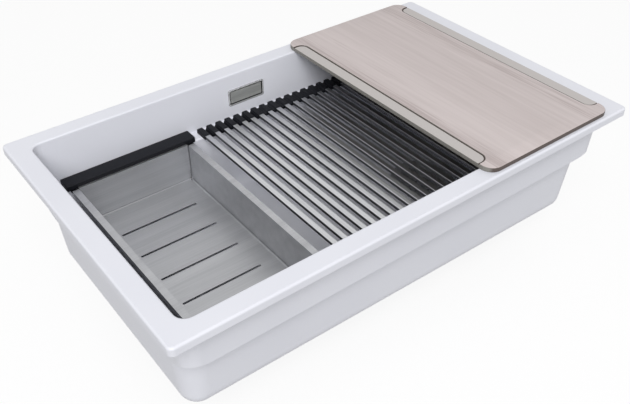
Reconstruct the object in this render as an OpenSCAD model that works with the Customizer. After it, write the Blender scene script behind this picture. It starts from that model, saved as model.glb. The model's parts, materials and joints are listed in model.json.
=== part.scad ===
// Workstation kitchen sink: one drop-in bowl of mineral composite with a ledge
// along its front and back walls. On the ledges hang a folded steel colander
// and a roll-up rack of square tubes; a board lies across the rim. The drain
// with its lift-out strainer and the overflow with its hose are whole as well.
// Origin: the middle of the rim's outline in the plane of its underside, which
// is the top of the worktop. +X runs along the length to the right, +Y to the
// back wall, +Z up. Millimetres.

/* [Bowl] */
// Length of the rim from left to right
sink_length = 820; // [800:5:840]
// Width of the rim from front to back
sink_width = 500; // [490:5:510]
// Depth from the top of the rim to the underside of the bowl at its left end
sink_depth = 200; // [195:5:210]
// Thickness of the rim that stands on the worktop
rim_height = 13; // [11:0.5:15]
// Width of the rim between its outer edge and the bowl
rim_width = 28; // [27.5:0.5:28.5]
// Slope of the outer walls under the rim from the vertical, degrees
draft = 3; // [2.75:0.25:3.25]
// Slope of the lower bowl's walls from the vertical, degrees
pan_draft = 5; // [4.5:0.25:5.25]
// Drop from the top of the rim to the ledge
ledge_drop = 82; // [80:1:86]
// Width of the ledge along the front and back walls
ledge_width = 21.5; // [20:0.5:23]

/* [Drain] */
// Middle of the drain, to the right of the middle of the bowl
drain_x = 225; // [215:5:235]
// Fall of the floor to the right, degrees
floor_fall = 1; // [0.8:0.1:1.2]
// Outer diameter of the drain's flange
flange_d = 114; // [112:1:116]

/* [Rack] */
// Distance between the tubes of the rack
tube_pitch = 18; // [17.5:0.5:18.5]
// Width of each tube
tube_w = 9; // [8:0.5:9.5]
// Tubes that stay flat, to the right of the six that roll up
flat_tubes = 16; // [10:1:16]

/* [Colander] */
// Length of the colander over its hems
colander_length = 214; // [200:2:218]
// Depth of the colander under its hem
colander_depth = 69; // [55:1:75]
// Length of each of the five slots in its floor
slot_length = 133; // [100:1:145]

/* [Board] */
// Size of the board along the sink
board_length = 268.5; // [240:0.5:280]
// Size of the board across the sink
board_width = 488; // [480:1:494]
// Thickness of the board
board_thick = 8; // [6:0.5:10]

/* [Hidden] */
$fn = 48;

// rounding of the bowl's edges
slope = tan(draft);
slope_in = tan(0.8);
pan_slope = tan(pan_draft);
lap = 5;
cut = 1;
rim_corner = 8;
rim_round = 3.5;
lip_round = 2.8;
ledge_round = 2.5;
// upper bowl: middles of its corners, and its walls' distance from them at z = 0
upper_cx = sink_length / 2 - rim_width - 20;
upper_cy = sink_width / 2 - rim_width - 18.5;
upper_in = 16;
upper_out = upper_in + 8.5;
// lower bowl, measured at the foot of the slope under the ledge
ledge_z = rim_height - ledge_drop;
haunch_top = ledge_z - 4;
haunch_foot = haunch_top - 18;
haunch_lap = 4;
lower_wall = 12.4;
foot_out = 34;
foot_in = foot_out - lower_wall;
end_ledge = 4;
ledge_edge = ledge_round + foot_in + (ledge_z - haunch_foot) * pan_slope;
lower_cx = upper_cx + upper_in + ledge_z * slope_in - end_ledge - ledge_edge;
lower_cy = upper_cy + upper_in + ledge_z * slope_in - ledge_width - ledge_edge;
lip_foot = ledge_z - 5;
undercut = 0.3;
bite = 0.02;
// keeps the seams of forms that lie inside one another apart
step = 1;
base_z = rim_height - sink_depth;
floor_z = base_z + 9;
fillet_in = 15;
fillet_out = 26;
// the lower bowl is turned about its left end, so that its floor falls to the drain
fall_x = -lower_cx;
fall_z = haunch_foot;
fall_shift = 2.5;
pan_top = lip_foot + sink_length * tan(floor_fall);
function fallen(z, x) = fall_z + (z - fall_z) / cos(floor_fall) - (x - fall_x) * tan(floor_fall);

// drain, drawn at its own middle; its seat and the boss under it are level
recess_d = flange_d + 4;
recess_z = fallen(floor_z, drain_x) - 5;
boss_z = fallen(base_z, drain_x) - 1.5;
boss_r = 60;
drain_hole_d = 92;
pad = 1;
flange_z = recess_z + pad;
flange_thick = 1.8;
well_r = 43.5;
well_z = recess_z - 24;
sheet = 1.2;
outlet_r = 14;
body_top = boss_z - pad;
body_r = 56;
body_foot = boss_z - 40;
outlet_thread_r = 23.9;
outlet_len = 34;
inlet_z = boss_z - 22;
inlet_reach = 84;
barb_r = 8.2;

// overflow: the frame is drawn in the plane of the back wall's inner face, the
// elbow in that of its outer face
overflow_x = -1;
overflow_z = -31.6;
overflow_l = 72;
overflow_h = 30.6;
overflow_band = 2.6;
overflow_pocket = 3.2;
overflow_proud = 0.8;
overflow_hole = [56, 18];
overflow_screw_x = 24.5;
elbow_z = -34;
elbow_l = 72;
elbow_h = 30;
elbow_y = 1.5;
elbow_deep = 9;
spigot_y = elbow_y + 11.5;
spigot_len = 44;
spigot_block = [24, 13, 20.5];
back_out = upper_cy + upper_out + elbow_z * slope;

// hose: the points it is clipped to on its way from the elbow to the drain
function on_spigot(z) = [overflow_x, back_out + spigot_y * cos(draft) + z * sin(draft),
    elbow_z - spigot_y * sin(draft) + z * cos(draft)];
hose_way = [on_spigot(-25), on_spigot(-44), on_spigot(-56), [2, 232, -122], [10, 232, -156], [36, 230, -192],
    [82, 212, -217], [132, 178, -229], [180, 138, -229], [drain_x - 7, 112, -224],
    [drain_x, 96, inlet_z], [drain_x, 84, inlet_z], [drain_x, 62, inlet_z]];
hose_steps = 12;
hose_bore = 9.1;
hose_root = 10.4;
hose_crest = 12.4;
hose_cuff = 11;
hose_sides = 8;
hose_cuff_rings = 13;

// sockets for the fixing clips under the rim
clip_u = 6;
clip_x = [-310, -130, 130, 310];
clip_y = [-120, 120];
plug_deep = 9;

// rack: the tubes lie on the ledges in sleeves of rubber
rest = 0.2;
rack_z = ledge_z + rest;
tube_h = 6;
tube_wall = 0.8;
tube_z = rack_z + 0.8;
tube_reach = upper_cy + upper_in + ledge_z * slope_in - 11;
tube_1_x = -101.5;
sleeve_w = tube_w + 2;
sleeve_h = 7.5;
sleeve_round = 2.2;
sleeve_in = tube_reach - 21.5;
sleeve_out = tube_reach + 6;
web_out = tube_reach + 2.5;
web_h = 3;
// the rubber's underside rises toward the wall, so that it slides clear of the corner there
relief_from = tube_reach - 3;
relief_slope = 0.155;
web_gap = 0.15;
rolled = 6;
flat_from = rolled + 1;
flat_to = rolled + flat_tubes;
roll_step = 45;

// colander
box_x = -342 + colander_length / 2;
box_top = ledge_z + 2;
hem = 10.5;
hem_lip = 8;
box_half_x = colander_length / 2 - hem;
box_half_y = 189;
bend = 3;
slot_w = 4;
slot_step = 62;
seam = 0.4;
rail_l = colander_length + 12;
rail_w = 25.6;
rail_h = 9;
rail_y = 204.6;
rail_end = 2;
rail_tab = [7, 2, 7];
flange_reach = 214;

// board
board_x = 103.5 + board_length / 2;
board_z = rim_height + rest;
board_corner = 20;
board_round = 1.2;
scoop_long = 434;
scoop_deep = 22.5;
scoop_corner = 16;
scoop_bow = 2670;
scoop_drop = 0.9;
groove_w = 3;
groove_drop = 2;

// colours
composite = [0.90, 0.90, 0.93];
steel = [0.70, 0.71, 0.73];
bright = [0.86, 0.87, 0.89];
black = [0.13, 0.13, 0.15];
grey_board = [0.77, 0.72, 0.70];

function wall_out(z) = upper_out + z * slope;
function lower_in(z) = foot_in + (z - haunch_foot) * pan_slope;
function lower_out(z) = foot_out + (z - haunch_foot) * pan_slope;

module rounded(l, w, r) {
    square([l - 2 * r, w], center = true);
    square([l, w - 2 * r], center = true);
    for (x = [-1, 1], y = [-1, 1]) {
        translate([x * (l / 2 - r), y * (w / 2 - r)]) circle(r);
    }
}

// a profile of distance and height carried round a rounded rectangle
module swept(cx, cy) {
    for (i = [0:3]) {
        sx = (i == 0 || i == 3) ? 1 : -1;
        sy = i < 2 ? 1 : -1;
        translate([sx * cx, sy * cy, 0]) rotate([0, 0, 90 * i]) rotate_extrude(angle = 90) children();
    }
    for (turn = [0, 180]) {
        rotate([0, 0, turn]) translate([cx, 0, 0])
            rotate([90, 0, 0]) linear_extrude(2 * cy, center = true) children();
        rotate([0, 0, turn + 90]) translate([cy, 0, 0])
            rotate([90, 0, 0]) linear_extrude(2 * cx, center = true) children();
    }
}

module core(cx, cy, z0, z1) {
    translate([-cx, -cy, z0]) cube([2 * cx, 2 * cy, z1 - z0]);
}

// half section of a pan with a sloping wall and a rounded foot
module pan_profile(r0, z_top, z_foot, fillet) {
    zc = z_foot + fillet;
    xc = r0 + zc * pan_slope - fillet / cos(pan_draft);
    polygon([[0, z_foot], [xc, z_foot], [xc + fillet * cos(pan_draft), zc - fillet * sin(pan_draft)],
        [r0 + z_top * pan_slope, z_top], [0, z_top]]);
    intersection() {
        translate([xc, zc]) circle(fillet);
        translate([xc, z_foot - cut]) square([fillet + cut, fillet + cut]);
    }
}

module rim_profile() {
    square([rim_corner, rim_height - rim_round]);
    square([rim_corner - rim_round, rim_height]);
    translate([rim_corner - rim_round, rim_height - rim_round]) circle(rim_round);
}

// half section of a space whose sloping wall turns outward over a rounded edge
module lip_profile(r0, lean, z_low, z_top, round_r) {
    a = atan(lean);
    zc = z_top - round_r;
    xc = r0 + zc * lean + round_r / cos(a);
    difference() {
        polygon([[0, z_low], [r0 + z_low * lean, z_low],
            [xc - (round_r - bite) * cos(a), zc + (round_r - bite) * sin(a)],
            [xc, zc], [xc, z_top + cut], [0, z_top + cut]]);
        translate([xc, zc]) circle(round_r);
    }
}

module falling() {
    translate([fall_x + fall_shift, 0, fall_z])
        rotate([0, floor_fall, 0]) translate([-fall_x, 0, -fall_z]) children();
}

module outer_body() {
    rim_cx = sink_length / 2 - rim_corner;
    rim_cy = sink_width / 2 - rim_corner;
    foot_z = haunch_foot - haunch_lap;
    lean = (upper_cy + wall_out(haunch_top) - lower_cy - foot_out) / (haunch_top - haunch_foot);
    swept(rim_cx, rim_cy) rim_profile();
    core(rim_cx, rim_cy, 0, rim_height);
    intersection() {
        union() {
            swept(upper_cx - step, upper_cy - step)
                polygon([[0, foot_z], [wall_out(foot_z) + step, foot_z], [wall_out(lap) + step, lap], [0, lap]]);
            core(upper_cx - step, upper_cy - step, foot_z, lap);
        }
        union() {
            swept(lower_cx - 3 * step, lower_cy - 3 * step)
                polygon([[0, foot_z - cut], [foot_out + 3 * step - (haunch_lap + cut) * lean, foot_z - cut],
                    [foot_out + 3 * step + (2 * lap - haunch_foot) * lean, 2 * lap], [0, 2 * lap]]);
            core(lower_cx - 3 * step, lower_cy - 3 * step, foot_z - cut, 2 * lap);
        }
    }
    falling() {
        swept(lower_cx, lower_cy) pan_profile(lower_out(0), ledge_z + 4, base_z, fillet_out);
        core(lower_cx, lower_cy, base_z, ledge_z + 4);
    }
    translate([drain_x, 0, boss_z]) cylinder(h = 6, r = boss_r, $fn = 72);
}

module inner_space() {
    swept(upper_cx, upper_cy) lip_profile(upper_in, slope_in, ledge_z, rim_height, lip_round);
    core(upper_cx, upper_cy, ledge_z, rim_height + cut);
    swept(lower_cx + step, lower_cy + step)
        lip_profile(lower_in(0) - step, pan_slope, lip_foot, ledge_z, ledge_round);
    core(lower_cx + step, lower_cy + step, lip_foot, ledge_z + cut);
    intersection() {
        falling() {
            swept(lower_cx - 2 * step, lower_cy - 2 * step)
                pan_profile(lower_in(0) + 2 * step + undercut, pan_top, floor_z, fillet_in);
            core(lower_cx - 2 * step, lower_cy - 2 * step, floor_z, pan_top);
        }
        translate([-sink_length / 2, -sink_width / 2, lip_foot - sink_depth])
            cube([sink_length, sink_width, sink_depth]);
    }
}

module at_clips() {
    for (x = clip_x) {
        translate([x, upper_cy + upper_out, 0]) children();
        translate([x, -upper_cy - upper_out, 0]) rotate([0, 0, 180]) children();
    }
    for (y = clip_y) {
        translate([upper_cx + upper_out, y, 0]) rotate([0, 0, -90]) children();
        translate([-upper_cx - upper_out, y, 0]) rotate([0, 0, 90]) children();
    }
}

module at_overflow() {
    translate([overflow_x, upper_cy + upper_in + overflow_z * slope_in, overflow_z])
        rotate([-atan(slope_in), 0, 0]) children();
}

module at_elbow() {
    translate([overflow_x, back_out, elbow_z]) rotate([-draft, 0, 0]) children();
}

module overflow_screw_holes(r) {
    at_overflow() for (x = [-1, 1]) {
        translate([x * overflow_screw_x, 18, 0]) rotate([90, 0, 0]) cylinder(h = 18, r = r, $fn = 20);
    }
}

module at_drain() {
    translate([drain_x, 0, 0]) children();
}

// a plate with rounded corners standing between two distances into the wall
module upright(l, h, r, y0, y1) {
    translate([0, y1, 0]) rotate([90, 0, 0]) linear_extrude(y1 - y0) rounded(l, h, r);
}

module sink_bowl() {
    color(composite) difference() {
        outer_body();
        inner_space();
        at_drain() {
            translate([0, 0, recess_z]) cylinder(h = 20, d = recess_d, $fn = 72);
            translate([0, 0, boss_z - cut]) cylinder(h = 20, d = drain_hole_d, $fn = 72);
        }
        at_overflow() {
            upright(overflow_l + 0.4, overflow_h + 0.4, 3.7, -lap, overflow_pocket);
            upright(overflow_hole[0], overflow_hole[1], 3, -cut, 12);
        }
        translate([0, 0, -cut]) linear_extrude(cut + 2.5) seal_outline();
        at_clips() translate([0, clip_u, -cut]) cylinder(h = plug_deep + cut, r = 3.5, $fn = 24);
    }
}

module seal_outline() {
    difference() {
        rounded(sink_length - 6, sink_width - 6, 7);
        rounded(sink_length - 18, sink_width - 18, 4);
    }
}

module rim_seal() {
    color(black) linear_extrude(2.5) seal_outline();
}

module clip_plugs() {
    color(black) at_clips() translate([0, clip_u, 0]) difference() {
        cylinder(h = plug_deep, r = 3.5, $fn = 24);
        translate([0, 0, -cut]) cylinder(h = plug_deep, r = 1.6, $fn = 16);
    }
}

module overflow_frame() {
    back_y = overflow_pocket - 0.6;
    color(bright) difference() {
        at_overflow() difference() {
            upright(overflow_l, overflow_h, 3.5, -overflow_proud, overflow_pocket);
            upright(overflow_l - 2 * overflow_band, overflow_h - 2 * overflow_band, 1.5, -2, back_y);
            upright(40, 14, 2, -2, overflow_pocket + cut);
        }
        overflow_screw_holes(1.9);
    }
}

module overflow_plate() {
    gap = overflow_band + 2.1;
    color(steel) at_overflow() {
        upright(overflow_l - 2 * gap, overflow_h - 2 * gap, 1, 0, 1.2);
        for (x = [-1, 1]) {
            translate([x * 29.7, 0, 0]) upright(3, 6, 0.8, 1.2, overflow_pocket - 0.6);
        }
    }
}

module overflow_screws() {
    seat = overflow_pocket - 0.6;
    tip = 16;
    color(steel) at_overflow() for (x = [-1, 1]) {
        translate([x * overflow_screw_x, tip, 0])
            rotate([90, 0, 0]) cylinder(h = tip - seat, r = 1.8, $fn = 20);
        translate([x * overflow_screw_x, seat, 0]) rotate([90, 0, 0]) cylinder(h = 1.1, r = 2.9, $fn = 24);
    }
}

module overflow_gasket() {
    color(black) at_elbow() difference() {
        upright(elbow_l, elbow_h, 4, 0, elbow_y);
        translate([0, 0, overflow_z - elbow_z])
            upright(overflow_hole[0], overflow_hole[1], 3, -cut, elbow_y + cut);
    }
}

module overflow_elbow() {
    block_z = -9 - spigot_block[1];
    color(black) difference() {
        at_elbow() difference() {
            union() {
                upright(elbow_l, elbow_h, 4, elbow_y, elbow_y + elbow_deep);
                translate([-spigot_block[0] / 2, elbow_y, block_z])
                    cube([spigot_block[0], spigot_block[2], spigot_block[1]]);
                translate([0, spigot_y, -spigot_len]) cylinder(h = spigot_len + block_z + 2, r = barb_r, $fn = 32);
            }
            upright(43, 15, 3, elbow_y - cut, elbow_y + elbow_deep - 2);
            translate([-6, elbow_y + 2, block_z + 3]) cube([12, elbow_deep - 4, spigot_block[1] + 6]);
            translate([0, spigot_y, -spigot_len - cut]) cylinder(h = spigot_len + cut - 11, r = 6, $fn = 32);
        }
        overflow_screw_holes(1.9);
    }
}

// smooth way through the hose's points
function clipped(i) = hose_way[max(0, min(len(hose_way) - 1, i))];
function way(i, t) = 0.5 * (2 * clipped(i)
    + (clipped(i + 1) - clipped(i - 1)) * t
    + (2 * clipped(i - 1) - 5 * clipped(i) + 4 * clipped(i + 1) - clipped(i + 2)) * t * t
    + (3 * clipped(i) - 3 * clipped(i + 1) + clipped(i + 2) - clipped(i - 1)) * t * t * t);
function unit(v) = v / norm(v);
hose_line = [for (i = [0:len(hose_way) - 2], k = [0:hose_steps - 1]) way(i, k / hose_steps)];
hose_last = len(hose_line) - 1;
function hose_dir(i) = unit(hose_line[min(hose_last, i + 1)] - hose_line[max(0, i - 1)]);
function hose_r(i) = (i < hose_cuff_rings || i > hose_last - hose_cuff_rings) ? hose_cuff
    : (i % 2 == 0 ? hose_root : hose_crest);
function hose_ring(i, r) = let (d = hose_dir(i), a = unit(cross(d, [1, 1, 0])), b = cross(d, a))
    [for (k = [0:hose_sides - 1]) let (t = k * 360 / hose_sides) hose_line[i] + r * (cos(t) * a + sin(t) * b)];

module overflow_hose() {
    n = hose_sides;
    rings = hose_last + 1;
    skin = [for (i = [0:hose_last]) each hose_ring(i, hose_r(i))];
    bore = [for (i = [0:hose_last]) each hose_ring(i, hose_bore)];
    inner = rings * n;
    outside = [for (i = [0:hose_last - 1], k = [0:n - 1]) let (a = i * n + k, b = i * n + (k + 1) % n)
        each [[a, b, b + n], [a, b + n, a + n]]];
    inside = [for (f = outside) [f[2] + inner, f[1] + inner, f[0] + inner]];
    first = [for (k = [0:n - 1]) let (a = k, b = (k + 1) % n) each [[b, a, a + inner], [b, a + inner, b + inner]]];
    end = hose_last * n;
    last = [for (k = [0:n - 1]) let (a = end + k, b = end + (k + 1) % n)
        each [[a, b, b + inner], [a, b + inner, a + inner]]];
    color(black)
        polyhedron(points = concat(skin, bore), faces = concat(outside, inside, first, last), convexity = 8);
}

module clamp() {
    difference() {
        union() {
            cylinder(h = 6, r = hose_cuff + 1.5, $fn = 32);
            translate([hose_cuff + 0.5, -4, 0]) cube([6, 8, 6]);
        }
        translate([0, 0, -cut]) cylinder(h = 8, r = hose_cuff + 0.3, $fn = 32);
        translate([hose_cuff, -0.7, -cut]) cube([9, 1.4, 8]);
    }
}

module hose_clamps() {
    color(steel) {
        at_elbow() translate([0, spigot_y, -38]) clamp();
        translate([drain_x, 76, inlet_z]) rotate([90, 0, 0]) rotate([0, 0, 90]) clamp();
    }
}

module drain_flange() {
    color(bright) at_drain() difference() {
        union() {
            rotate_extrude($fn = 72) {
                translate([well_r - sheet, flange_z]) square([flange_d / 2 - well_r + sheet - 0.9, flange_thick]);
                translate([flange_d / 2 - 0.9, flange_z + 0.9]) circle(0.9, $fn = 20);
                translate([well_r - sheet, well_z]) square([sheet, flange_z - well_z]);
                translate([0, well_z]) square([well_r, sheet]);
            }
            translate([0, 0, well_z - 4]) cylinder(h = 4 + sheet, r = 6, $fn = 32);
        }
        translate([0, 0, well_z - 5]) cylinder(h = 10, r = 3.1, $fn = 24);
        for (a = [0:60:300]) {
            rotate([0, 0, a]) translate([outlet_r, 0, well_z - 5]) cylinder(h = 10, r = 5.4, $fn = 24);
        }
    }
}

module flange_gasket() {
    color(black) at_drain() translate([0, 0, recess_z]) difference() {
        cylinder(h = pad, d = flange_d - 2, $fn = 72);
        translate([0, 0, -cut]) cylinder(h = 4, d = drain_hole_d + 2, $fn = 72);
    }
}

module body_gasket() {
    color(black) at_drain() translate([0, 0, body_top]) difference() {
        cylinder(h = pad, r = body_r, $fn = 72);
        translate([0, 0, -cut]) cylinder(h = 4, d = drain_hole_d + 2, $fn = 72);
    }
}

module waste_body() {
    thread_r = outlet_thread_r;
    bore_r = thread_r - 3.4;
    foot = body_foot - outlet_len;
    color(black) at_drain() difference() {
        union() {
            rotate_extrude($fn = 72)
                polygon([[0, body_foot], [thread_r + 1, body_foot], [47.5, body_foot + 16], [47.5, body_top - 4],
                    [body_r, body_top - 4], [body_r, body_top], [0, body_top]]);
            translate([0, 0, foot]) cylinder(h = outlet_len + 1, r = thread_r, $fn = 48);
            translate([0, inlet_reach, inlet_z])
                rotate([90, 0, 0]) cylinder(h = inlet_reach - 40, r = barb_r, $fn = 32);
        }
        // open throat, crossed by three low ribs that carry the screw's post
        difference() {
            rotate_extrude($fn = 72)
                polygon([[0, foot - cut], [bore_r, foot - cut], [bore_r, body_foot + 3], [45, body_foot + 19],
                    [45, body_top + cut], [0, body_top + cut]]);
            translate([0, 0, body_foot]) cylinder(h = well_z - 4.2 - body_foot, r = 5.5, $fn = 32);
            for (a = [30, 150, 270]) {
                rotate([0, 0, a]) translate([0, -1.5, body_foot]) cube([46, 3, 9]);
            }
        }
        translate([0, inlet_reach + cut, inlet_z])
            rotate([90, 0, 0]) cylinder(h = inlet_reach - 40, r = 6, $fn = 32);
        translate([0, 0, body_foot + 4]) cylinder(h = 20, r = 2.9, $fn = 24);
    }
}

module waste_screw() {
    color(steel) at_drain() {
        translate([0, 0, body_foot + 5]) cylinder(h = well_z + sheet - body_foot - 5, r = 2.9, $fn = 24);
        translate([0, 0, well_z + sheet]) cylinder(h = 2, r = 6, $fn = 32);
    }
}

module basket_cup() {
    z0 = well_z + sheet + rest + 3;
    top = flange_z - 2;
    color(bright) at_drain() difference() {
        union() {
            translate([0, 0, z0]) cylinder(h = top - z0, r1 = 36, r2 = 39, $fn = 72);
            translate([0, 0, top - 1.2]) cylinder(h = 1.2, r = 41.8, $fn = 72);
        }
        translate([0, 0, z0 + 1]) cylinder(h = top - z0, r1 = 35, r2 = 38.2, $fn = 72);
        for (ring = [0:2]) {
            for (a = [0:30:330]) {
                rotate([0, 0, a + 10 * ring]) translate([14 + 7 * ring, 0, z0 - cut])
                    cylinder(h = 4, r = 1.9, $fn = 14);
            }
        }
        for (a = [0:22.5:157.5]) {
            rotate([0, 0, a]) translate([-45, -1.5, z0 + 6]) cube([90, 3, 7]);
        }
        translate([0, 0, z0 - cut]) cylinder(h = 4, r = 3, $fn = 24);
    }
}

module basket_seal() {
    z0 = well_z + sheet + rest;
    color(black) at_drain() translate([0, 0, z0]) difference() {
        cylinder(h = 3, r = 25, $fn = 48);
        translate([0, 0, -cut]) cylinder(h = 5, r = 7, $fn = 32);
    }
}

module basket_knob() {
    z0 = well_z + sheet + rest + 3;
    color(bright) at_drain() {
        translate([0, 0, z0]) rotate_extrude($fn = 32) {
            square([3, 16]);
            translate([0, 1]) square([6.5, 1.5]);
            translate([0, 14]) square([8, 5]);
            translate([0, 13]) square([7, 7]);
            translate([7, 14]) circle(1, $fn = 20);
            translate([7, 19]) circle(1, $fn = 20);
        }
    }
}

// colander of folded sheet: floor and side walls from one profile, end walls
// from the other, with an open seam down each corner
module side_profile() {
    floor_top = box_top - colander_depth;
    for (s = [0, 1]) {
        mirror([s, 0]) {
            translate([box_half_x, box_top - sheet]) square([hem, sheet]);
            translate([box_half_x + hem - sheet, box_top - hem_lip]) square([sheet, hem_lip]);
            translate([box_half_x, floor_top + bend]) square([sheet, colander_depth - bend]);
            bend_profile(box_half_x + sheet, floor_top);
        }
    }
    translate([-box_half_x - sheet + bend + sheet, floor_top]) square([2 * (box_half_x - bend), sheet]);
}

module bend_profile(x_out, z_out) {
    r = bend + sheet;
    translate([x_out - r, z_out + r]) intersection() {
        difference() {
            circle(r);
            circle(bend);
        }
        translate([0, -r]) square([r, r]);
    }
}

module end_profile() {
    floor_top = box_top - colander_depth;
    translate([box_half_y - sheet, floor_top + bend + sheet]) square([sheet, colander_depth - bend - sheet]);
    bend_profile(box_half_y, floor_top);
    translate([box_half_y - bend - sheet - 6, floor_top]) square([6, sheet]);
    translate([box_half_y - sheet, box_top - sheet]) square([flange_reach - box_half_y + sheet, sheet]);
}

module colander_box() {
    side_y = box_half_y - sheet - seam;
    color(steel) translate([box_x, 0, 0]) difference() {
        union() {
            rotate([90, 0, 0]) linear_extrude(2 * (side_y - bend), center = true) side_profile();
            for (s = [-1, 1]) {
                translate([s * (box_half_x + sheet / 2), 0, box_top - colander_depth / 2 + bend / 2 + sheet])
                    cube([sheet, 2 * side_y, colander_depth - bend - 2 * sheet], center = true);
                translate([s * (box_half_x + hem / 2), 0, box_top - sheet / 2])
                    cube([hem, 2 * box_half_y, sheet], center = true);
            }
            for (turn = [0, 180]) {
                rotate([0, 0, turn]) rotate([90, 0, 90])
                    linear_extrude(2 * (box_half_x - seam), center = true) end_profile();
            }
        }
        for (i = [-2:2]) {
            translate([0, i * slot_step, box_top - colander_depth - cut]) linear_extrude(sheet + 2 * cut)
                rounded(slot_length, slot_w, slot_w / 2 - 0.05, $fn = 20);
        }
        for (x = [-1, 1], y = [-1, 1]) {
            translate([x * (box_half_x - bend), y * (box_half_y - bend - sheet), box_top - colander_depth - cut])
                cylinder(h = sheet + 2 * cut, r = 2, $fn = 20);
        }
    }
}

module rail(side) {
    slot_top = box_top + 0.05;
    tab_x = box_half_x + hem - rail_tab[0];
    color(black) scale([1, side, 1]) translate([box_x, rail_y, 0]) difference() {
        union() {
            translate([0, 0, rack_z]) linear_extrude(rail_h) rounded(rail_l, rail_w, rail_end);
            for (x = [-tab_x - rail_tab[0], tab_x]) {
                translate([x, -rail_w / 2, rack_z - 4]) cube(rail_tab);
            }
        }
        translate([-box_half_x + seam - 0.05, -rail_w, slot_top - sheet - 0.1])
            cube([2 * (box_half_x - seam) + 0.1, rail_w + flange_reach - rail_y + 0.05, sheet + 0.1]);
    }
}

module rear_rail() {
    rail(1);
}

module front_rail() {
    rail(-1);
}

function tube_x(i) = tube_1_x + (i - 1) * tube_pitch;

module tube(i) {
    translate([tube_x(i), 0, tube_z + tube_h / 2]) rotate([90, 0, 0])
        linear_extrude(2 * tube_reach, center = true) difference() {
            rounded(tube_w, tube_h, 1, $fn = 16);
            square([tube_w - 2 * tube_wall, tube_h - 2 * tube_wall], center = true);
        }
}

module sleeve(i) {
    translate([tube_x(i), 0, rack_z]) difference() {
        translate([0, sleeve_out, 0]) rotate([90, 0, 0]) linear_extrude(sleeve_out - sleeve_in) {
            translate([-sleeve_w / 2, 0]) square([sleeve_w, sleeve_h - sleeve_round]);
            translate([-sleeve_w / 2 + sleeve_round, 0]) square([sleeve_w - 2 * sleeve_round, sleeve_h]);
            for (s = [-1, 1]) {
                translate([s * (sleeve_w / 2 - sleeve_round), sleeve_h - sleeve_round])
                    circle(sleeve_round, $fn = 20);
            }
        }
        translate([0, tube_reach, tube_z - rack_z + tube_h / 2])
            rotate([90, 0, 0]) linear_extrude(40) rounded(tube_w, tube_h, 1, $fn = 16);
    }
}

module relief(x, long) {
    end = sleeve_out + 1;
    translate([x, 0, rack_z]) rotate([90, 0, 90]) linear_extrude(long)
        polygon([[relief_from - 1, -relief_slope], [end, -relief_slope],
            [end, relief_slope * (end - relief_from)]]);
}

module strip() {
    color(black) difference() {
        union() {
            for (i = [flat_from:flat_to]) {
                sleeve(i);
            }
            for (i = [flat_from:flat_to - 1]) {
                translate([tube_x(i) + sleeve_w / 2 - 0.2, sleeve_in, rack_z])
                    cube([tube_pitch - sleeve_w + 0.4, web_out - sleeve_in, web_h]);
            }
            web_half(flat_from, -1);
        }
        relief(tube_x(flat_from) - tube_pitch, (flat_tubes + 1) * tube_pitch);
    }
}

// half of the flexible web beside a sleeve, ending in the notch it folds at
module web_half(i, side) {
    reach = tube_pitch / 2 - web_gap;
    top = reach - web_h * tan(roll_step / 2 + 1);
    translate([tube_x(i), web_out, rack_z]) scale([side, 1, 1])
        rotate([90, 0, 0]) linear_extrude(web_out - sleeve_in)
            polygon([[sleeve_w / 2 - 0.2, 0], [reach, 0], [top, web_h], [sleeve_w / 2 - 0.2, web_h]]);
}

module rack_tubes() {
    color(steel) for (i = [flat_from:flat_to]) {
        tube(i);
    }
}

module rack_strip_rear() {
    strip();
}

module rack_strip_front() {
    mirror([0, 1, 0]) strip();
}

module link_tube(i) {
    color(steel) tube(i);
}

module link_tips(i) {
    color(black) for (s = [0, 1]) {
        mirror([0, s, 0]) difference() {
            union() {
                sleeve(i);
                web_half(i, 1);
                if (i > 1) web_half(i, -1);
            }
            relief(tube_x(i) - tube_pitch, 2 * tube_pitch);
        }
    }
}

module board_blank() {
    cx = board_length / 2 - board_corner;
    cy = board_width / 2 - board_corner;
    swept(cx, cy) {
        square([board_corner - board_round, board_thick]);
        translate([0, board_round]) square([board_corner, board_thick - 2 * board_round]);
        for (z = [board_round, board_thick - board_round]) {
            translate([board_corner - board_round, z]) circle(board_round, $fn = 20);
        }
    }
    core(cx, cy, 0, board_thick);
}

module scoop_outline(inset) {
    intersection() {
        rounded(2 * (scoop_deep - inset), scoop_long - 2 * inset, scoop_corner - inset);
        translate([scoop_deep - inset - scoop_bow, 0]) circle(scoop_bow, $fn = 720);
    }
}

module cutting_board() {
    color(grey_board) translate([board_x, 0, board_z]) difference() {
        board_blank();
        for (turn = [0, 180]) {
            rotate([0, 0, turn]) translate([-board_length / 2, 0, board_thick]) {
                translate([0, 0, -scoop_drop]) linear_extrude(5) scoop_outline(0);
                translate([0, 0, -groove_drop]) linear_extrude(5) difference() {
                    scoop_outline(0);
                    scoop_outline(groove_w);
                }
            }
        }
    }
}

sink_bowl();
rim_seal();
clip_plugs();
overflow_frame();
overflow_plate();
overflow_screws();
overflow_gasket();
overflow_elbow();
overflow_hose();
hose_clamps();
drain_flange();
flange_gasket();
body_gasket();
waste_body();
waste_screw();
basket_cup();
basket_seal();
basket_knob();
colander_box();
rear_rail();
front_rail();
rack_tubes();
rack_strip_rear();
rack_strip_front();
link_tube(1);  // rack_tube_1
link_tips(1);  // rack_tips_1
link_tube(2);  // rack_tube_2
link_tips(2);  // rack_tips_2
link_tube(3);  // rack_tube_3
link_tips(3);  // rack_tips_3
link_tube(4);  // rack_tube_4
link_tips(4);  // rack_tips_4
link_tube(5);  // rack_tube_5
link_tips(5);  // rack_tips_5
link_tube(6);  // rack_tube_6
link_tips(6);  // rack_tips_6
cutting_board();
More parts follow.
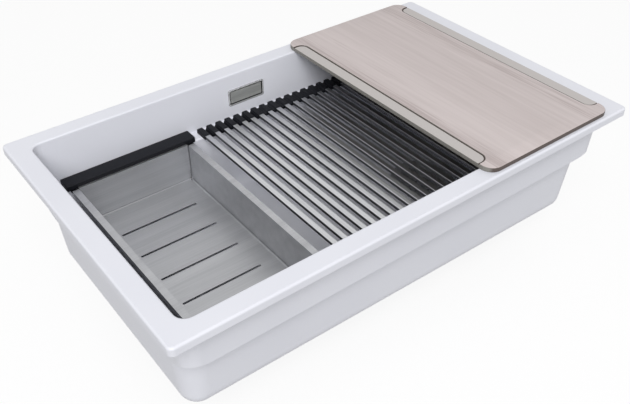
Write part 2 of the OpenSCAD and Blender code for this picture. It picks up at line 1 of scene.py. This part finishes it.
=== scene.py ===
# %% [markdown]
# # A workstation kitchen sink
# The sink is a moulded bowl of white mineral composite. A folded steel colander, a roll-up rack of steel tubes
# and a thin cutting board rest in it and on it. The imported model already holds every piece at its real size.
# The cells below give those pieces their finish. The rubber, the board and the hose are modelled again, because
# their rounded ends, grooves and ribs show in a picture.

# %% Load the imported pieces
import json
import math

import bpy
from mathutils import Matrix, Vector

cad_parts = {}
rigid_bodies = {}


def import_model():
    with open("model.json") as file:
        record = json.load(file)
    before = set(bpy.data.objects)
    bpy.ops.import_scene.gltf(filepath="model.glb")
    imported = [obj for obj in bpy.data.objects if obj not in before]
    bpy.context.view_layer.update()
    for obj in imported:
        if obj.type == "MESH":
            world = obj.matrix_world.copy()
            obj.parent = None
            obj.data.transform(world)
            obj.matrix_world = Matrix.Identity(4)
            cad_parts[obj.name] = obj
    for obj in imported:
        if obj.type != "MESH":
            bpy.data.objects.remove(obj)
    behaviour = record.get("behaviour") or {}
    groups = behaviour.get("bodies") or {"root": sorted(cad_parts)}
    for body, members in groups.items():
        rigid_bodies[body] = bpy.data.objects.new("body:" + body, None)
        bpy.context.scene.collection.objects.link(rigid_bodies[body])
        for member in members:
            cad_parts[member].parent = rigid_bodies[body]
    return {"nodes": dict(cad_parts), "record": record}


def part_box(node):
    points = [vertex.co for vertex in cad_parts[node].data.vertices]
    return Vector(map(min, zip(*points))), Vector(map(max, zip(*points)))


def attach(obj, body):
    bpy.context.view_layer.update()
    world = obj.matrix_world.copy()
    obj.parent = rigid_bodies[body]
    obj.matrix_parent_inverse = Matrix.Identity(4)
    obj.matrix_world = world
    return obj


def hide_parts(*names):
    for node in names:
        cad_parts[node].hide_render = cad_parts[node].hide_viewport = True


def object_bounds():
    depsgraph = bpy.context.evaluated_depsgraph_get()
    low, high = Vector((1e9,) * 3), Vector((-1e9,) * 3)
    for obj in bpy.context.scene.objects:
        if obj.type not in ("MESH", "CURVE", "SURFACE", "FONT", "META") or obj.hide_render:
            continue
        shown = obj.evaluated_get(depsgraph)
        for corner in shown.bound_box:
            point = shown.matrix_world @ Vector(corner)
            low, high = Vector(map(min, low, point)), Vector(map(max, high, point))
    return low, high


for old in list(bpy.data.objects):
    bpy.data.objects.remove(old)
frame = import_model()
nodes = frame["nodes"]
packed_box = [list(corner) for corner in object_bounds()]
MM = 0.001
print(f"{len(nodes)} pieces, {packed_box[1][0] - packed_box[0][0]:.3f} m long")

# %% [markdown]
# ## Camera
# The view looks down into the bowl from its front left corner. A long lens would flatten the rim, so the lens
# follows the way the rim's far side narrows: a field of about 43 degrees across a picture 630 pixels wide.

# %% Camera
picture_width = 630
focal_pixels = 798.353
centre_offset = -3.669
camera_place = (-0.633727, -0.805821, 0.676982)
looks_down, turns_right = 0.6704, 0.6573
bpy.ops.object.camera_add(location=camera_place)
camera = bpy.context.object
camera.rotation_euler = (math.pi / 2 - looks_down, 0, -turns_right)
camera.data.sensor_width = 36
camera.data.lens = focal_pixels / picture_width * camera.data.sensor_width
camera.data.shift_x = centre_offset / picture_width
camera.data.clip_start, camera.data.clip_end = 0.05, 50
bpy.context.scene.camera = camera
print(f"field {math.degrees(2 * math.atan(picture_width / 2 / focal_pixels)):.1f} degrees")

# %% [markdown]
# ## Light and floor
# Plain studio light: an even pale surround, and one large softbox above the viewer's left shoulder. It reaches
# the inside of the back wall, which a lamp from behind would leave in shade. The surround is dimmer for matt
# surfaces than it looks to the eye and to polished steel, so that steel has something white to mirror.

# %% Surround, softbox and floor
bpy.context.scene.view_settings.view_transform = "Standard"
surround_light = 0.45
floor_shade = 0.32
floor_white = 1.0
floor_glow = 0.85
floor_size, floor_gap = 12, 1 * MM


def seen_directly(tree):
    path = tree.nodes.new("ShaderNodeLightPath")
    total = path.outputs["Is Camera Ray"]
    for other in ("Is Glossy Ray", "Is Transmission Ray"):
        join = tree.nodes.new("ShaderNodeMath")
        join.operation = "MAXIMUM"
        tree.links.new(total, join.inputs[0])
        tree.links.new(path.outputs[other], join.inputs[1])
        total = join.outputs[0]
    return total


def scaled(tree, value, low, high):
    span = tree.nodes.new("ShaderNodeMapRange")
    span.inputs["To Min"].default_value = low
    span.inputs["To Max"].default_value = high
    tree.links.new(value, span.inputs["Value"])
    return span.outputs["Result"]


world = bpy.context.scene.world or bpy.data.worlds.new("studio")
bpy.context.scene.world = world
world.use_nodes = True
background = world.node_tree.nodes["Background"]
background.inputs["Color"].default_value = (1, 1, 1, 1)
strength = scaled(world.node_tree, seen_directly(world.node_tree), surround_light, 1)
world.node_tree.links.new(strength, background.inputs["Strength"])

bpy.ops.mesh.primitive_plane_add(size=floor_size, location=(0, 0, packed_box[0][2] - floor_gap))
floor = bpy.context.object
floor.name = "floor"
paper = bpy.data.materials.new("floor_paper")
paper.use_nodes = True
tree = paper.node_tree
seen = seen_directly(tree)
tint = tree.nodes.new("ShaderNodeCombineColor")
for channel in ("Red", "Green", "Blue"):
    tree.links.new(scaled(tree, seen, floor_shade, floor_white), tint.inputs[channel])
matt = tree.nodes["Principled BSDF"]
matt.inputs["Roughness"].default_value = 0.95
tree.links.new(tint.outputs["Color"], matt.inputs["Base Color"])
glow = tree.nodes.new("ShaderNodeEmission")
blend = tree.nodes.new("ShaderNodeMixShader")
tree.links.new(scaled(tree, seen, 0, floor_glow), blend.inputs["Fac"])
tree.links.new(matt.outputs["BSDF"], blend.inputs[1])
tree.links.new(glow.outputs["Emission"], blend.inputs[2])
tree.links.new(blend.outputs["Shader"], tree.nodes["Material Output"].inputs["Surface"])
floor.data.materials.append(paper)

key_direction = Vector((-0.42, -0.58, 0.698))
key_distance = 5
key_light = 0.76
softbox_size = 2.7
bpy.ops.object.light_add(type="AREA", location=key_direction * key_distance)
softbox = bpy.context.object
softbox.name = "softbox"
softbox.data.size = softbox_size
softbox.data.energy = math.pi**2 * key_light * key_distance**2
softbox.rotation_euler = key_direction.to_track_quat("Z", "Y").to_euler()
print(f"softbox of {softbox.data.energy:.0f} W, {key_distance} m away")

# %% [markdown]
# ## Patterns that several finishes share
# Cast composite, rubber and board all have a fine random grain, and every steel sheet and tube has brush marks.
# Each pattern is one node group. It gives a tone that varies over the surface and a height for the bump, and
# the finish decides how strong they are. Stretching the coordinates along the brush turns specks into lines.

# %% Grain and brush marks
def pattern(name, fine_scale, broad_scale, broad_share, detail):
    tree = bpy.data.node_groups.new(name, "ShaderNodeTree")
    tree.interface.new_socket("Vector", in_out="INPUT", socket_type="NodeSocketVector")
    tree.interface.new_socket("Tone", in_out="OUTPUT", socket_type="NodeSocketFloat")
    tree.interface.new_socket("Height", in_out="OUTPUT", socket_type="NodeSocketFloat")
    start = tree.nodes.new("NodeGroupInput")
    end = tree.nodes.new("NodeGroupOutput")
    layers = []
    for scale, fineness in ((fine_scale, detail), (broad_scale, 1)):
        noise = tree.nodes.new("ShaderNodeTexNoise")
        noise.inputs["Scale"].default_value = scale
        noise.inputs["Detail"].default_value = fineness
        tree.links.new(start.outputs["Vector"], noise.inputs["Vector"])
        layers.append(noise.outputs["Fac"])
    mix = tree.nodes.new("ShaderNodeMix")
    mix.inputs["Factor"].default_value = broad_share
    tree.links.new(layers[0], mix.inputs["A"])
    tree.links.new(layers[1], mix.inputs["B"])
    tree.links.new(mix.outputs["Result"], end.inputs["Tone"])
    tree.links.new(layers[0], end.inputs["Height"])
    return tree


cast_grain = pattern("cast_grain", 1300, 7, 0.6, 2)
brush_marks = pattern("brush_marks", 1, 0.06, 0.45, 4)
darkest_tone, lightest_tone = 0.32, 0.68


def place_pattern(tree, group, stretch):
    coordinates = tree.nodes.new("ShaderNodeTexCoord")
    mapping = tree.nodes.new("ShaderNodeMapping")
    mapping.inputs["Scale"].default_value = stretch
    tree.links.new(coordinates.outputs["Object"], mapping.inputs["Vector"])
    marks = tree.nodes.new("ShaderNodeGroup")
    marks.node_tree = group
    tree.links.new(mapping.outputs["Vector"], marks.inputs["Vector"])
    return marks


def toned(tree, tone, dark, light):
    ramp = tree.nodes.new("ShaderNodeValToRGB")
    ramp.color_ramp.elements[0].position = darkest_tone
    ramp.color_ramp.elements[1].position = lightest_tone
    ramp.color_ramp.elements[0].color = (*dark, 1)
    ramp.color_ramp.elements[1].color = (*light, 1)
    tree.links.new(tone, ramp.inputs["Fac"])
    return ramp.outputs["Color"]


def bumped(tree, height, strength, depth):
    bump = tree.nodes.new("ShaderNodeBump")
    bump.inputs["Strength"].default_value = strength
    bump.inputs["Distance"].default_value = depth
    tree.links.new(height, bump.inputs["Height"])
    return bump.outputs["Normal"]


def finish(name, group, stretch, dark, light, rough, metal=0.0, bump=0.1, depth=0.0002):
    material = bpy.data.materials.new(name)
    material.use_nodes = True
    tree = material.node_tree
    shader = tree.nodes["Principled BSDF"]
    shader.inputs["Metallic"].default_value = metal
    marks = place_pattern(tree, group, stretch)
    tree.links.new(toned(tree, marks.outputs["Tone"], dark, light), shader.inputs["Base Color"])
    tree.links.new(scaled(tree, marks.outputs["Tone"], rough[0], rough[1]), shader.inputs["Roughness"])
    tree.links.new(bumped(tree, marks.outputs["Height"], bump, depth), shader.inputs["Normal"])
    return material


# %% [markdown]
# ## Masks
# Some pieces change colour at a height, a depth or an edge. A mask is made from the object's own coordinates or
# from the way the surface faces, and a second colour is mixed in wherever it is 1.

# %% Masks from place and facing
def axes(tree, kind):
    coordinates = tree.nodes.new("ShaderNodeTexCoord")
    split = tree.nodes.new("ShaderNodeSeparateXYZ")
    tree.links.new(coordinates.outputs[kind], split.inputs["Vector"])
    return split.outputs


def step_between(tree, value, low, high):
    span = tree.nodes.new("ShaderNodeMapRange")
    span.inputs["From Min"].default_value = low
    span.inputs["From Max"].default_value = high
    tree.links.new(value, span.inputs["Value"])
    return span.outputs["Result"]


def recolour(material, mask, colour):
    tree = material.node_tree
    base = tree.nodes["Principled BSDF"].inputs["Base Color"]
    before = base.links[0].from_socket
    mix = tree.nodes.new("ShaderNodeMix")
    mix.data_type = "RGBA"
    tree.links.new(mask, mix.inputs["Factor"])
    first, second = [s for s in mix.inputs if s.type == "RGBA"]
    tree.links.new(before, first)
    second.default_value = (*colour, 1)
    tree.links.new([s for s in mix.outputs if s.type == "RGBA"][0], base)


# %% [markdown]
# ## Finishes
# The composite is a nearly white, slightly bluish stone with a silky skin. The steel is brushed: across the
# colander's floor, along the tubes, and along the overflow's plate. Rubber and plastic are black with a fine
# grain, which keeps them from looking like holes in the picture.

# %% Finishes of composite, steel, rubber and plastic
EVEN = (1, 1, 1)
ALONG_X = (12, 900, 900)
ALONG_Y = (900, 12, 900)
composite = finish(
    "white_composite", cast_grain, EVEN, (0.77, 0.779, 0.842), (0.81, 0.819, 0.877),
    rough=(0.36, 0.5), metal=0, bump=0.05,
)
sheet_steel = finish(
    "brushed_sheet", brush_marks, ALONG_X, (0.40, 0.405, 0.42), (0.52, 0.525, 0.54),
    rough=(0.36, 0.55), metal=1, bump=0.12,
)
tube_steel = finish(
    "brushed_tube", brush_marks, ALONG_Y, (0.50, 0.505, 0.52), (0.66, 0.665, 0.68),
    rough=(0.26, 0.42), metal=1, bump=0.16,
)
plate_steel = finish(
    "brushed_plate", brush_marks, ALONG_X, (0.38, 0.39, 0.38), (0.62, 0.63, 0.61),
    rough=(0.35, 0.55), metal=0.6, bump=0.4,
)
polished = finish(
    "polished_steel", cast_grain, EVEN, (0.68, 0.69, 0.71), (0.74, 0.75, 0.77),
    rough=(0.08, 0.18), metal=1, bump=0.01,
)
pocket_steel = finish(
    "frame_steel", cast_grain, EVEN, (0.72, 0.73, 0.74), (0.80, 0.81, 0.82),
    rough=(0.14, 0.26), metal=0.6, bump=0.01,
)
# Painted shade: the drain's steel is darker than the other steel, for the shade under the board; its roughness
# is a real satin finish.
drain_steel_painted_shade = finish(
    "satin_steel_painted_shade", cast_grain, EVEN, (0.42, 0.425, 0.435), (0.52, 0.525, 0.54),
    rough=(0.4, 0.55), metal=0.8, bump=0.02,
)
rubber = finish(
    "black_silicone", cast_grain, EVEN, (0.004, 0.0045, 0.007), (0.008, 0.009, 0.013),
    rough=(0.5, 0.7), metal=0, bump=0.4,
)
plastic = finish(
    "black_plastic", cast_grain, EVEN, (0.010, 0.010, 0.012), (0.018, 0.018, 0.021),
    rough=(0.35, 0.55), metal=0, bump=0.2,
)
black_gloss = 0.24
for material in (rubber, plastic):
    material.node_tree.nodes["Principled BSDF"].inputs["Specular IOR Level"].default_value = black_gloss
steels = (sheet_steel, tube_steel, plate_steel, polished, pocket_steel, drain_steel_painted_shade)
print("steel finishes:", ", ".join(material.name for material in steels))

# %% [markdown]
# Painted shade: the tubes' sides are painted darker than their tops, and the tubes on the right are painted
# darker than those on the left, for the board's shadow and a painted reflection of its underside. The
# colander's bends are painted darker in place of the highlight they would catch, and the seams of its corners
# are dark. The bottom of the overflow frame's pocket, behind its front edge, is painted black for the deep
# shade there.

# %% Painted shade on the tubes, the colander's bends and the overflow's pocket
bend_painted_shade = (0.29, 0.294, 0.305)
seam_black = (0.03, 0.03, 0.032)
seam_x, seam_y = (95.2, 95.8), (186.5, 187.1)
right_tube_painted_shade = (0.34, 0.34, 0.35)
tube_side_painted_shade = (0.12, 0.12, 0.13)
pocket_painted_shade = (0.012, 0.012, 0.012)
pocket_from, pocket_to = 0.9, 1.2

# Painted shade: the colander's bends are darkened where the sheet leans, in place of the highlight they would
# catch.
tree = sheet_steel.node_tree
leaning = axes(tree, "Normal")["Z"]
bend_shade_mask = tree.nodes.new("ShaderNodeMath")
bend_shade_mask.operation = "MULTIPLY"
tree.links.new(step_between(tree, leaning, 0.05, 0.3), bend_shade_mask.inputs[0])
tree.links.new(step_between(tree, leaning, 0.995, 0.9), bend_shade_mask.inputs[1])
recolour(sheet_steel, bend_shade_mask.outputs["Value"], bend_painted_shade)
box_low, box_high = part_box("colander_box")
place = axes(tree, "Object")
from_middle = {}
for axis, middle in (("X", (box_low.x + box_high.x) / 2), ("Y", 0)):
    shifted = tree.nodes.new("ShaderNodeMath")
    shifted.operation = "SUBTRACT"
    shifted.inputs[1].default_value = middle
    tree.links.new(place[axis], shifted.inputs[0])
    distance = tree.nodes.new("ShaderNodeMath")
    distance.operation = "ABSOLUTE"
    tree.links.new(shifted.outputs["Value"], distance.inputs[0])
    from_middle[axis] = distance.outputs["Value"]
seam = tree.nodes.new("ShaderNodeMath")
seam.operation = "MULTIPLY"
tree.links.new(step_between(tree, from_middle["X"], seam_x[0] * MM, seam_x[1] * MM), seam.inputs[0])
tree.links.new(step_between(tree, from_middle["Y"], seam_y[0] * MM, seam_y[1] * MM), seam.inputs[1])
recolour(sheet_steel, seam.outputs["Value"], seam_black)
# Painted shade and painted reflection: the tubes darken towards the right for the board's shadow and its dark
# underside mirrored in them, and their sides are painted darker than their tops as shade.
tree = tube_steel.node_tree
recolour(tube_steel, step_between(tree, axes(tree, "Object")["X"], 0.02, 0.24), right_tube_painted_shade)
recolour(tube_steel, step_between(tree, axes(tree, "Normal")["Z"], 0.75, 0.2), tube_side_painted_shade)
# Painted shade: the overflow frame's pocket is coloured black behind its front edge.
frame_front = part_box("overflow_frame")[0].y
tree = pocket_steel.node_tree
depth = axes(tree, "Object")["Y"]
behind = step_between(tree, depth, frame_front + pocket_from * MM, frame_front + pocket_to * MM)
recolour(pocket_steel, behind, pocket_painted_shade)
print(f"pocket dark from {pocket_from} mm behind the frame's front")

# %% [markdown]
# ## The board's finish
# The board looks like one pressed from paper and resin: a warm pale grey with long streaks of grain along its
# length, a dark core that shows at its edges and in the grooves, and finger scoops cut a little below its face.
# Its left edge is painted a lighter grey, as painted light.

# %% Finish of the board
board_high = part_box("cutting_board")[1]
core_brown = (0.085, 0.064, 0.056)
streak_brown = (0.47, 0.405, 0.395)
scoop_grey = (0.53, 0.50, 0.485)
left_edge_painted_light = (0.22, 0.21, 0.19)
GRAIN, STREAKS = (150, 6, 150), (420, 9, 420)
scoop_levels, groove_levels = (0.45, 0.65), (0.95, 1.05)
board = finish(
    "board_composite", brush_marks, GRAIN, (0.525, 0.46, 0.45), (0.635, 0.565, 0.555),
    rough=(0.42, 0.6), metal=0, bump=0.08,
)
tree = board.node_tree
streaks = place_pattern(tree, brush_marks, STREAKS)
height = axes(tree, "Object")["Z"]
facing = axes(tree, "Normal")
recolour(board, step_between(tree, streaks.outputs["Tone"], 0.53, 0.64), streak_brown)
for levels, colour in ((scoop_levels, scoop_grey), (groove_levels, core_brown)):
    upper, lower = (board_high.z - level * MM for level in levels)
    recolour(board, step_between(tree, height, upper, lower), colour)
recolour(board, step_between(tree, facing["Z"], 0.8, 0.5), core_brown)
# Painted light: the left edge is a lighter grey than the other edges, for the light that falls on it.
recolour(board, step_between(tree, facing["X"], -0.6, -0.8), left_edge_painted_light)
print(f"board's face at {board_high.z / MM:.1f} mm")

# %% [markdown]
# ## Giving each imported piece its finish
# The record names a material slot for each piece. Tubes and the overflow's plate have the slot of steel, but
# their brush marks run another way, the overflow's frame is less bright than polished steel, and the drain's
# steel is painted darker for the shade under the board, so all of these are set by name.

# %% Finish of each imported piece
by_slot = {"composite": composite, "steel": sheet_steel, "polished": polished, "rubber": rubber}
by_slot |= {"plastic": plastic, "board": board}
by_name = {"overflow_plate": plate_steel, "overflow_frame": pocket_steel}
by_name |= {"drain_flange": drain_steel_painted_shade, "basket_cup": drain_steel_painted_shade, "basket_knob": drain_steel_painted_shade}
slots = {part["node"]: part["material_slot"] for part in frame["record"]["subparts"]}
for name, piece in nodes.items():
    chosen = tube_steel if name.startswith("rack_tube") else by_name.get(name, by_slot[slots[name]])
    piece.data.materials.clear()
    piece.data.materials.append(chosen)
print(f"{len(nodes)} pieces have a finish, {len(by_name)} of them by name besides the tubes")

# %% [markdown]
# ## Ways of shaping
# New pieces start as a block or a ring. `pick` goes into edit mode with those faces or edges selected whose
# middle passes a test, which is what clicking on them does by hand.

# %% Blocks, picking and joining
def only(piece):
    bpy.ops.object.select_all(action="DESELECT")
    piece.select_set(True)
    bpy.context.view_layer.objects.active = piece


def block(low, high):
    low, high = Vector(map(min, low, high)) * MM, Vector(map(max, low, high)) * MM
    bpy.ops.mesh.primitive_cube_add(size=1, location=(low + high) / 2)
    piece = bpy.context.object
    piece.scale = high - low
    bpy.ops.object.transform_apply(location=True, rotation=False, scale=True)
    return piece


def pick(piece, kind, wanted):
    only(piece)
    bpy.ops.object.mode_set(mode="EDIT")
    bpy.ops.mesh.select_mode(type=kind)
    bpy.ops.mesh.select_all(action="DESELECT")
    bpy.ops.object.mode_set(mode="OBJECT")
    points = [vertex.co / MM for vertex in piece.data.vertices]
    for part in piece.data.polygons if kind == "FACE" else piece.data.edges:
        corners = [points[i] for i in part.vertices]
        part.select = wanted(sum(corners, Vector()) / len(corners))
    bpy.ops.object.mode_set(mode="EDIT")


def done():
    bpy.ops.object.mode_set(mode="OBJECT")


def joined(pieces):
    bpy.ops.object.select_all(action="DESELECT")
    for piece in pieces:
        piece.select_set(True)
    bpy.context.view_layer.objects.active = pieces[0]
    bpy.ops.object.join()
    return pieces[0]


def stands_for(piece, name, body, material):
    piece.name = name + "_modelled"
    piece.data.materials.clear()
    piece.data.materials.append(material)
    only(piece)
    bpy.ops.object.shade_smooth_by_angle(angle=math.radians(35))
    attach(piece, body)
    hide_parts(name)


# %% [markdown]
# ## Silicone sleeves and webs
# Each end of a tube sits in a moulded sleeve. Starting from a block, the inner face is inset and pushed in to
# make the socket, and the outer edges are bevelled until the end is round. Webs join the sleeves. On the part
# of the rack that stays flat a web is one piece with a shallow valley. The webs of the six tubes that roll up
# are cut to a slope on both sides of the fold, so that they close up when the rack is rolled.

# %% Sleeves and webs of the rack
tube_pitch = 18
first_tube = -101.5
rolling_tubes, all_tubes = 6, 22
rest_level = -68.8
socket_end, sleeve_end, web_end = 186.04, 213.54, 210.04
half_sleeve, sleeve_top, web_top = 5.5, 7.5, 4.6
fold_slope = math.tan(math.radians(23.5))
socket_wall, socket_depth = 0.75, 21.5
end_round, web_overlap, fold_gap = 2.1, 0.2, 0.15
valley_rise, valley_drop = 0.9, 1.8


def sleeve(x, side):
    low = (x - half_sleeve, side * socket_end, rest_level)
    piece = block(low, (x + half_sleeve, side * sleeve_end, rest_level + sleeve_top))
    pick(piece, "FACE", lambda p: side * p.y < socket_end + 0.1)
    bpy.ops.mesh.inset(thickness=socket_wall * MM)
    bpy.ops.mesh.extrude_region_move(TRANSFORM_OT_translate={"value": (0, side * socket_depth * MM, 0)})
    done()
    top, end = rest_level + sleeve_top - 0.05, sleeve_end - 0.05
    pick(piece, "EDGE", lambda p: (p.z > top and side * p.y > socket_end + 1) or side * p.y > end)
    bpy.ops.mesh.bevel(offset=end_round * MM, segments=4)
    done()
    return piece


def web(x, side):
    low, high = x + half_sleeve - web_overlap, x + tube_pitch - half_sleeve + web_overlap
    top = rest_level + web_top + valley_rise
    piece = block((low, side * socket_end, rest_level), (high, side * web_end, top))
    middle = (low + high) / 2
    only(piece)
    bpy.ops.object.mode_set(mode="EDIT")
    bpy.ops.mesh.select_all(action="SELECT")
    bpy.ops.mesh.bisect(plane_co=(middle * MM, 0, 0), plane_no=(1, 0, 0))
    done()
    pick(piece, "EDGE", lambda p: abs(p.x - middle) < 0.1 and p.z > rest_level + web_top)
    bpy.ops.transform.translate(value=(0, 0, -valley_drop * MM))
    done()
    return piece


def half_web(x, side, way):
    foot = tube_pitch / 2 - fold_gap
    inner, outer = x + way * (half_sleeve - web_overlap), x + way * foot
    piece = block((inner, side * socket_end, rest_level), (outer, side * web_end, rest_level + web_top))
    pick(piece, "EDGE", lambda p: abs(p.x - outer) < 0.05 and p.z > rest_level + web_top - 0.05)
    bpy.ops.transform.translate(value=(-way * web_top * fold_slope * MM, 0, 0))
    done()
    return piece


def tube_middle(number):
    return first_tube + (number - 1) * tube_pitch


for name, side in (("rack_strip_rear", 1), ("rack_strip_front", -1)):
    parts = [half_web(tube_middle(rolling_tubes + 1), side, -1)]
    for number in range(rolling_tubes + 1, all_tubes + 1):
        parts.append(sleeve(tube_middle(number), side))
        if number < all_tubes:
            parts.append(web(tube_middle(number), side))
    stands_for(joined(parts), name, "rack", rubber)

for number in range(1, rolling_tubes + 1):
    parts = []
    for side in (1, -1):
        parts += [sleeve(tube_middle(number), side), half_web(tube_middle(number), side, 1)]
        if number > 1:
            parts.append(half_web(tube_middle(number), side, -1))
    stands_for(joined(parts), f"rack_tips_{number}", f"rack_link_{number}", rubber)
print(f"sleeves on {all_tubes} tubes, {rolling_tubes} of which roll up")

# %% [markdown]
# ## Rails of the colander
# The rails are moulded too, so their upper edges are rounded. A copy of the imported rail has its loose
# triangles merged and its flat faces cleaned, and then the edges round its top are bevelled.

# %% Rounded rails
def softened(name, radius, wanted):
    piece = bpy.data.objects.new(name, nodes[name].data.copy())
    bpy.context.collection.objects.link(piece)
    only(piece)
    bpy.ops.object.mode_set(mode="EDIT")
    bpy.ops.mesh.select_all(action="SELECT")
    bpy.ops.mesh.remove_doubles(threshold=0.01 * MM)
    bpy.ops.mesh.dissolve_limited(angle_limit=math.radians(1))
    done()
    pick(piece, "EDGE", wanted)
    bpy.ops.mesh.bevel(offset=radius * MM, segments=3)
    done()
    return piece


rail_round = 1.4
for name in ("rear_rail", "front_rail"):
    rail_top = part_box(name)[1].z / MM - 0.05
    stands_for(softened(name, rail_round, lambda p: p.z > rail_top), name, "colander", rubber)
print(f"rails rounded by {rail_round} mm round their tops")

# %% [markdown]
# ## Cutting board
# The board starts as a block. Its corners are bevelled to a radius, and then the edges round both faces. Along
# its left and right edges lies a finger scoop with a groove round it. The cutter for them is a block whose
# underside is inset and pushed up, so that it cuts the groove deeper than the scoop.

# %% Board with scoops and grooves
board_left, board_right, half_width = 103.5, 372, 244
board_low, board_top = 13.2, 21.2
scoop_width, scoop_half, scoop_radius = 21.5, 221, 15
scoop_depth, groove_depth, groove_width = 0.9, 2.0, 2.6
corner_radius, edge_radius = 20, 1.2
past_edge, above_face = 12, 5

board_piece = block((board_left, -half_width, board_low), (board_right, half_width, board_top))
pick(board_piece, "EDGE", lambda p: abs(p.z - (board_low + board_top) / 2) < 1)
bpy.ops.mesh.bevel(offset=corner_radius * MM, segments=12)
done()
pick(board_piece, "EDGE", lambda p: abs(p.z - board_top) < 0.05 or abs(p.z - board_low) < 0.05)
bpy.ops.mesh.bevel(offset=edge_radius * MM, segments=3)
done()
for edge, inward in ((board_left, 1), (board_right, -1)):
    inner = edge + inward * scoop_width
    start = (edge - inward * past_edge, -scoop_half, board_top - groove_depth)
    cutter = block(start, (inner, scoop_half, board_top + above_face))

    def upright_at_inner_end(p):
        return abs(p.x - inner) < 0.1 and abs(p.y) > scoop_half - 0.1 and abs(p.z - board_top) < 4.4

    pick(cutter, "EDGE", upright_at_inner_end)
    bpy.ops.mesh.bevel(offset=scoop_radius * MM, segments=10)
    done()
    pick(cutter, "FACE", lambda p: p.z < board_top - groove_depth + 0.05)
    bpy.ops.mesh.inset(thickness=groove_width * MM)
    step_up = (groove_depth - scoop_depth) * MM
    bpy.ops.mesh.extrude_region_move(TRANSFORM_OT_translate={"value": (0, 0, step_up)})
    done()
    cut = board_piece.modifiers.new("cut", "BOOLEAN")
    cut.operation = "DIFFERENCE"
    cut.solver = "EXACT"
    cut.object = cutter
    only(board_piece)
    bpy.ops.object.modifier_apply(modifier="cut")
    bpy.data.objects.remove(cutter)
stands_for(board_piece, "cutting_board", "board", board)
print(f"board {board_right - board_left:.1f} x {2 * half_width} x {board_top - board_low:.0f} mm")

# %% [markdown]
# ## Overflow hose
# The hose carries water from the overflow down behind the bowl to the waste. Its way is a smooth curve through
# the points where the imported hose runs. One rib is drawn out of a ring in four steps and repeated along X, a
# plain cuff is drawn at each end, and the whole is bent along the curve and given its wall.

# %% Ribbed hose
way_points = [
    (-1, 237.89, -59.65), (-1, 236.90, -78.62), (-1, 236.27, -90.60), (2, 232, -122), (10, 232, -156),
    (36, 230, -192), (82, 212, -217), (132, 178, -229), (180, 138, -229), (218, 112, -224),
    (225, 96, -220.5), (225, 84, -220.5), (225, 62, -220.5),
]
way_points = [Vector(point) * MM for point in way_points]


def along(index, share):
    a, b, c, d = (way_points[max(0, min(len(way_points) - 1, index + k))] for k in (-1, 0, 1, 2))
    squared, cubed = 2 * a - 5 * b + 4 * c - d, 3 * b - 3 * c + d - a
    return 0.5 * (2 * b + (c - a) * share + squared * share**2 + cubed * share**3)


steps_each = 12
route = [along(i, k / steps_each) for i in range(len(way_points) - 1) for k in range(steps_each)]
route.append(way_points[-1])
hose_length = sum((b - a).length for a, b in zip(route, route[1:]))
line = bpy.data.curves.new("hose_line", "CURVE")
line.dimensions = "3D"
spline = line.splines.new("POLY")
spline.points.add(len(route) - 1)
for point, place in zip(spline.points, route):
    point.co = (*place, 1)
line_object = bpy.data.objects.new("hose_line", line)
bpy.context.collection.objects.link(line_object)

root, crest, cuff = 10.4 * MM, 12.4 * MM, 11 * MM
cuff_length, cuff_step, hose_wall = 19 * MM, 1 * MM, 1.2 * MM
wanted_pitch, round_steps = 5 * MM, 24
rib_count = round((hose_length - 2 * cuff_length) / wanted_pitch)
rib_pitch = (hose_length - 2 * cuff_length) / rib_count


def drawn_ring(start, radius, steps):
    bpy.ops.mesh.primitive_circle_add(
        vertices=round_steps, radius=radius, location=(start, 0, 0), rotation=(0, math.pi / 2, 0)
    )
    ring = bpy.context.object
    bpy.ops.object.transform_apply(location=True, rotation=True, scale=False)
    bpy.ops.object.mode_set(mode="EDIT")
    bpy.ops.mesh.select_mode(type="VERT")
    bpy.ops.mesh.select_all(action="SELECT")
    for forward, wider in steps:
        bpy.ops.mesh.extrude_region_move(TRANSFORM_OT_translate={"value": (forward, 0, 0)})
        bpy.ops.transform.resize(value=(1, wider, wider))
    done()
    return ring


near_crest = 12.1 * MM
rib = drawn_ring(cuff_length, root, [
    (0.22 * rib_pitch, near_crest / root), (0.28 * rib_pitch, crest / near_crest),
    (0.28 * rib_pitch, near_crest / crest), (0.22 * rib_pitch, root / near_crest),
])
row = rib.modifiers.new("row", "ARRAY")
row.count = rib_count
row.use_relative_offset = False
row.use_constant_offset = True
row.constant_offset_displace = (rib_pitch, 0, 0)
only(rib)
bpy.ops.object.modifier_apply(modifier="row")
plain = [((cuff_length - cuff_step) / 5, 1)] * 5
near_cuff = drawn_ring(0, cuff, plain + [(cuff_step, root / cuff)])
far_cuff = drawn_ring(hose_length - cuff_length, root, [(cuff_step, cuff / root)] + plain)
hose = joined([rib, near_cuff, far_cuff])
only(hose)
bend = hose.modifiers.new("bend", "CURVE")
bend.object = line_object
bend.deform_axis = "POS_X"
bpy.ops.object.modifier_apply(modifier="bend")
bpy.ops.object.mode_set(mode="EDIT")
bpy.ops.mesh.select_all(action="SELECT")
bpy.ops.mesh.remove_doubles(threshold=0.02 * MM)
bpy.ops.mesh.normals_make_consistent(inside=False)
done()
wall = hose.modifiers.new("wall", "SOLIDIFY")
wall.thickness = hose_wall
wall.offset = -1
bpy.ops.object.modifier_apply(modifier="wall")
bpy.data.objects.remove(line_object)
stands_for(hose, "overflow_hose", "sink", plastic)
print(f"hose {hose_length:.3f} m long, {rib_count} ribs")
